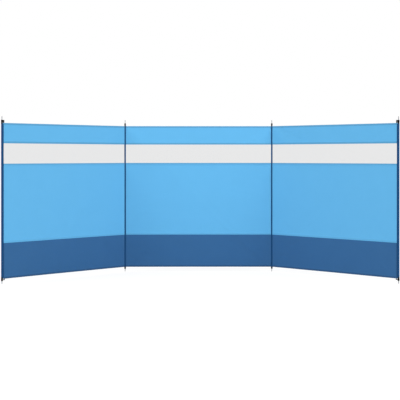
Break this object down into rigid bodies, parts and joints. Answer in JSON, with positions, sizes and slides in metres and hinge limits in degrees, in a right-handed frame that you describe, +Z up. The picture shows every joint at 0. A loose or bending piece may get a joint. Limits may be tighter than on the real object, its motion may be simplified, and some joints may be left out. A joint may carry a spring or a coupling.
{
  "type": "beach windbreak",
  "caption": "Beach windbreak: a blue cloth screen in bays between spiked poles, with a clear window strip and end bays that swing as wings.",
  "frame": {"origin": "centre of the left inner foot cap's flat underside, at ground level", "axes": "+X along the middle bay from the left inner pole to the right inner pole, -Y towards the sheltered side that the wings close round, +Z up"},
  "size_m": [3.6764, 1.0599, 1.55],
  "materials": {
    "light_blue_cloth": "plain-woven coated polyester, light blue",
    "dark_blue_cloth": "plain-woven coated polyester, dark blue",
    "sleeve_cloth": "plain-woven coated polyester, navy",
    "window_film": "clear flexible film",
    "pole_steel": "black coated steel tube",
    "cap_plastic": "black moulded plastic",
    "pin_steel": "zinc-plated steel rod",
    "loop_elastic": "black woven elastic webbing"
  },
  "bodies": {
    "middle_bay": {"left_inner_pole": "pole_steel", "left_inner_sleeve": "sleeve_cloth", "left_inner_top_cap": "cap_plastic", "left_inner_foot_cap": "cap_plastic", "left_inner_top_pin": "pin_steel", "left_inner_spike": "pin_steel", "right_inner_pole": "pole_steel", "right_inner_sleeve": "sleeve_cloth", "right_inner_top_cap": "cap_plastic", "right_inner_foot_cap": "cap_plastic", "right_inner_top_pin": "pin_steel", "right_inner_spike": "pin_steel", "middle_top_band": "light_blue_cloth", "middle_window": "window_film", "middle_main_band": "light_blue_cloth", "middle_base_band": "dark_blue_cloth"},
    "left_wing": {"left_outer_pole": "pole_steel", "left_outer_sleeve": "sleeve_cloth", "left_outer_top_cap": "cap_plastic", "left_outer_foot_cap": "cap_plastic", "left_outer_top_pin": "pin_steel", "left_outer_spike": "pin_steel", "left_outer_top_loop": "loop_elastic", "left_outer_foot_loop": "loop_elastic", "left_top_band": "light_blue_cloth", "left_window": "window_film", "left_main_band": "light_blue_cloth", "left_base_band": "dark_blue_cloth"},
    "right_wing": {"right_outer_pole": "pole_steel", "right_outer_sleeve": "sleeve_cloth", "right_outer_top_cap": "cap_plastic", "right_outer_foot_cap": "cap_plastic", "right_outer_top_pin": "pin_steel", "right_outer_spike": "pin_steel", "right_outer_top_loop": "loop_elastic", "right_outer_foot_loop": "loop_elastic", "right_top_band": "light_blue_cloth", "right_window": "window_film", "right_main_band": "light_blue_cloth", "right_base_band": "dark_blue_cloth"}
  },
  "joints": [
    {"name": "left_wing_swing", "type": "hinge", "parent": "middle_bay", "child": "left_wing", "pos_m": [0, 0, 0], "axis": [0, 0, 1], "range_deg": [-154, 66]},
    {"name": "right_wing_swing", "type": "hinge", "parent": "middle_bay", "child": "right_wing", "pos_m": [1.5, 0, 0], "axis": [0, 0, -1], "range_deg": [-154, 66]}
  ]
}
